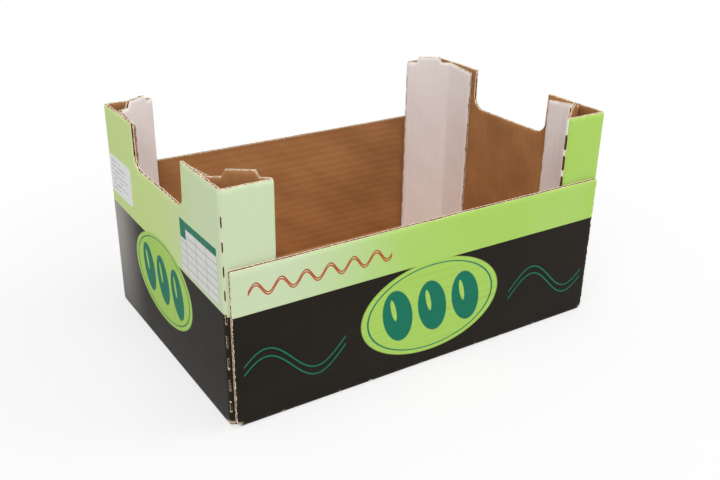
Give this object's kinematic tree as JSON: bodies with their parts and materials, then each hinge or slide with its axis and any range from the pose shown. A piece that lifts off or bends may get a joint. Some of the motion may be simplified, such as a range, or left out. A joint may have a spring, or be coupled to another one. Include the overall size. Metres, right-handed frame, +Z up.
{
  "type": "cardboard tray box",
  "caption": "Open corrugated-board tray box for fruit, with hollow triangular corner posts, hand dips in both ends and stacking tongues.",
  "frame": {"origin": "centre of the underside", "axes": "+X along the length to the right end, +Y across the width to the back, +Z up; the front long side faces -Y"},
  "size_m": [0.4002, 0.27, 0.216],
  "materials": {
    "printed_board": "matt",
    "label_paper": "matt"
  },
  "bodies": {
    "root": {"tray": "printed_board", "paper_label": "label_paper"}
  },
  "joints": []
}
